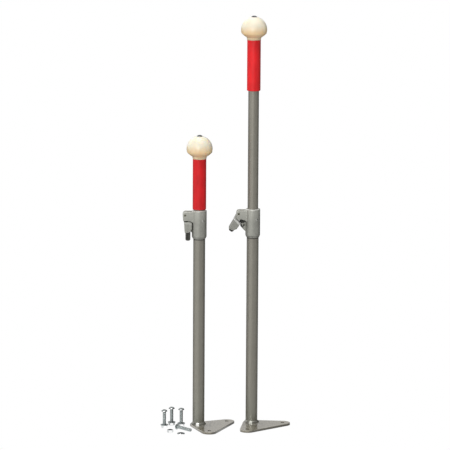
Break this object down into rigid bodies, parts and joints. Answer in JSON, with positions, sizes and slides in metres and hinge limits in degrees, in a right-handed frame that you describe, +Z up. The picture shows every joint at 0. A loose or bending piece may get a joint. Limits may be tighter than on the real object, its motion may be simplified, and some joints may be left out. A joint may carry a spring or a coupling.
{
  "type": "pair of telescopic posts",
  "caption": "Pair of telescopic holding posts with cam-lever clamps, red grips, wooden ball knobs and triangular bolt-down feet, one lowered and one drawn out.",
  "frame": {"origin": "on the floor, on the axis of the left post", "axes": "+Z up along the posts, +X from the left post towards the right one, +Y away from the side where the levers' near faces show"},
  "size_m": [0.3075, 0.1425, 0.9786],
  "materials": {
    "post_paint": "fine metallic grey-olive paint, satin",
    "weld_bead": "painted over a rippled weld",
    "clamp_casting": "light grey coated casting, satin",
    "steel_fixing": "plain turned steel",
    "red_grip": "satin red vinyl sleeve",
    "pale_wood": "pale wood, clear lacquer",
    "bright_screw": "polished round head",
    "bush_plastic": "black nylon",
    "black_steel": "blackened steel",
    "pad_plastic": "hard black plastic",
    "zinc_screw": "bright zinc plating"
  },
  "bodies": {
    "stand": {"left_base_plate": "post_paint", "left_foot_weld": "weld_bead", "left_outer_tube": "post_paint", "left_clamp_body": "clamp_casting", "left_clamp_rivet": "steel_fixing", "left_lever_pin": "steel_fixing", "right_base_plate": "post_paint", "right_foot_weld": "weld_bead", "right_outer_tube": "post_paint", "right_clamp_body": "clamp_casting", "right_clamp_rivet": "steel_fixing", "right_lever_pin": "steel_fixing", "foot_bolts": "zinc_screw", "foot_washers": "zinc_screw", "foot_nuts": "zinc_screw"},
    "left_glide": {"left_glide_bush": "bush_plastic"},
    "left_mast": {"left_inner_tube": "post_paint", "left_tube_plug": "steel_fixing", "left_grip_sleeve": "red_grip", "left_ball_knob": "pale_wood", "left_knob_screw": "bright_screw"},
    "left_lever": {"left_cam_lever": "clamp_casting", "left_tab_studs": "steel_fixing"},
    "left_tab": {"left_lever_tab": "black_steel"},
    "left_pad": {"left_brake_pad": "pad_plastic"},
    "right_glide": {"right_glide_bush": "bush_plastic"},
    "right_mast": {"right_inner_tube": "post_paint", "right_tube_plug": "steel_fixing", "right_grip_sleeve": "red_grip", "right_ball_knob": "pale_wood", "right_knob_screw": "bright_screw"},
    "right_lever": {"right_cam_lever": "clamp_casting", "right_tab_studs": "steel_fixing"},
    "right_tab": {"right_lever_tab": "black_steel"},
    "right_pad": {"right_brake_pad": "pad_plastic"}
  },
  "joints": [
    {"name": "left_mast_slide", "type": "slide", "parent": "stand", "child": "left_glide", "axis": [0, 0, 1], "range_m": [0, 0.3]},
    {"name": "left_mast_turn", "type": "hinge", "parent": "left_glide", "child": "left_mast", "pos_m": [0, 0, 0.5], "axis": [0, 0, 1], "continuous": true},
    {"name": "left_lever_hinge", "type": "hinge", "parent": "stand", "child": "left_lever", "pos_m": [-0.0331, 0, 0.5095], "axis": [0, 1, 0], "range_deg": [0, 95]},
    {"name": "left_tab_slide", "type": "slide", "parent": "left_lever", "child": "left_tab", "axis": [0, 0, -1], "range_m": [-0.0153, 0]},
    {"name": "left_pad_slide", "type": "slide", "parent": "stand", "child": "left_pad", "axis": [-1, 0, 0], "range_m": [0, 0.0006]},
    {"name": "right_mast_slide", "type": "slide", "parent": "stand", "child": "right_glide", "axis": [0, 0, 1], "range_m": [-0.279, 0.021]},
    {"name": "right_mast_turn", "type": "hinge", "parent": "right_glide", "child": "right_mast", "pos_m": [0.126, 0.023, 0.5], "axis": [0, 0, 1], "continuous": true},
    {"name": "right_lever_hinge", "type": "hinge", "parent": "stand", "child": "right_lever", "pos_m": [0.0929, 0.023, 0.5095], "axis": [0, 1, 0], "range_deg": [-34, 61]},
    {"name": "right_tab_slide", "type": "slide", "parent": "right_lever", "child": "right_tab", "axis": [-0.5592, 0, -0.829], "range_m": [0, 0.0153]},
    {"name": "right_pad_slide", "type": "slide", "parent": "stand", "child": "right_pad", "axis": [-1, 0, 0], "range_m": [-0.000214, 0.000386]}
  ],
  "couplings": [
    {"joint": "left_pad_slide", "follows": "left_lever_hinge", "m_per_rad": 0.00036},
    {"joint": "right_pad_slide", "follows": "right_lever_hinge", "m_per_rad": 0.00036}
  ]
}
